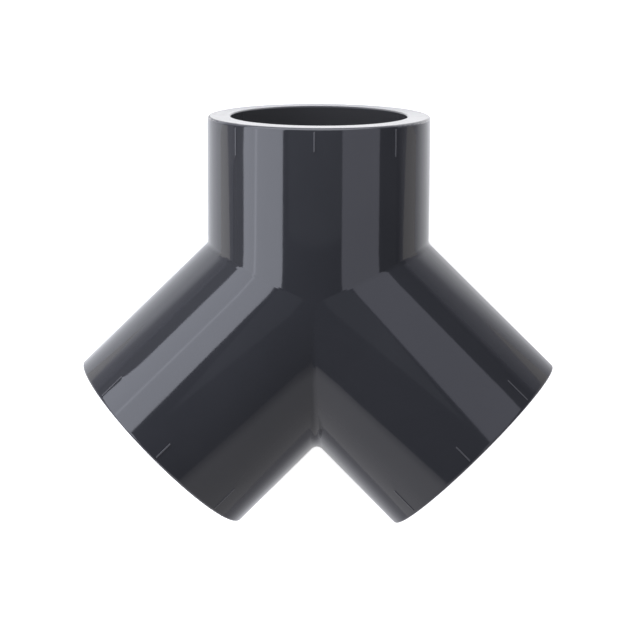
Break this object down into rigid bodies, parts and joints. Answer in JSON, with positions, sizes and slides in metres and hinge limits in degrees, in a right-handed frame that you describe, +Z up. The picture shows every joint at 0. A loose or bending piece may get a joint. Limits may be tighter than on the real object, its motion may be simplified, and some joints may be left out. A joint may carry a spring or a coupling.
{
  "type": "symmetrical wye pipe fitting",
  "caption": "Dark grey moulded plastic wye for solvent-cemented pipe, with equal sockets, a straight stem and splayed branches.",
  "frame": {"origin": "on the surface the fitting rests on, at the middle of its outline seen from above", "axes": "+Z up out of the surface, square to the plane of the three pipe axes; +Y along the stem, out of its mouth; +X to the right branch's side"},
  "size_m": [0.1338, 0.1162, 0.064],
  "materials": {
    "pvc": "polished mould finish, dark anthracite grey"
  },
  "bodies": {
    "root": {"wye_body": "pvc"}
  },
  "joints": []
}
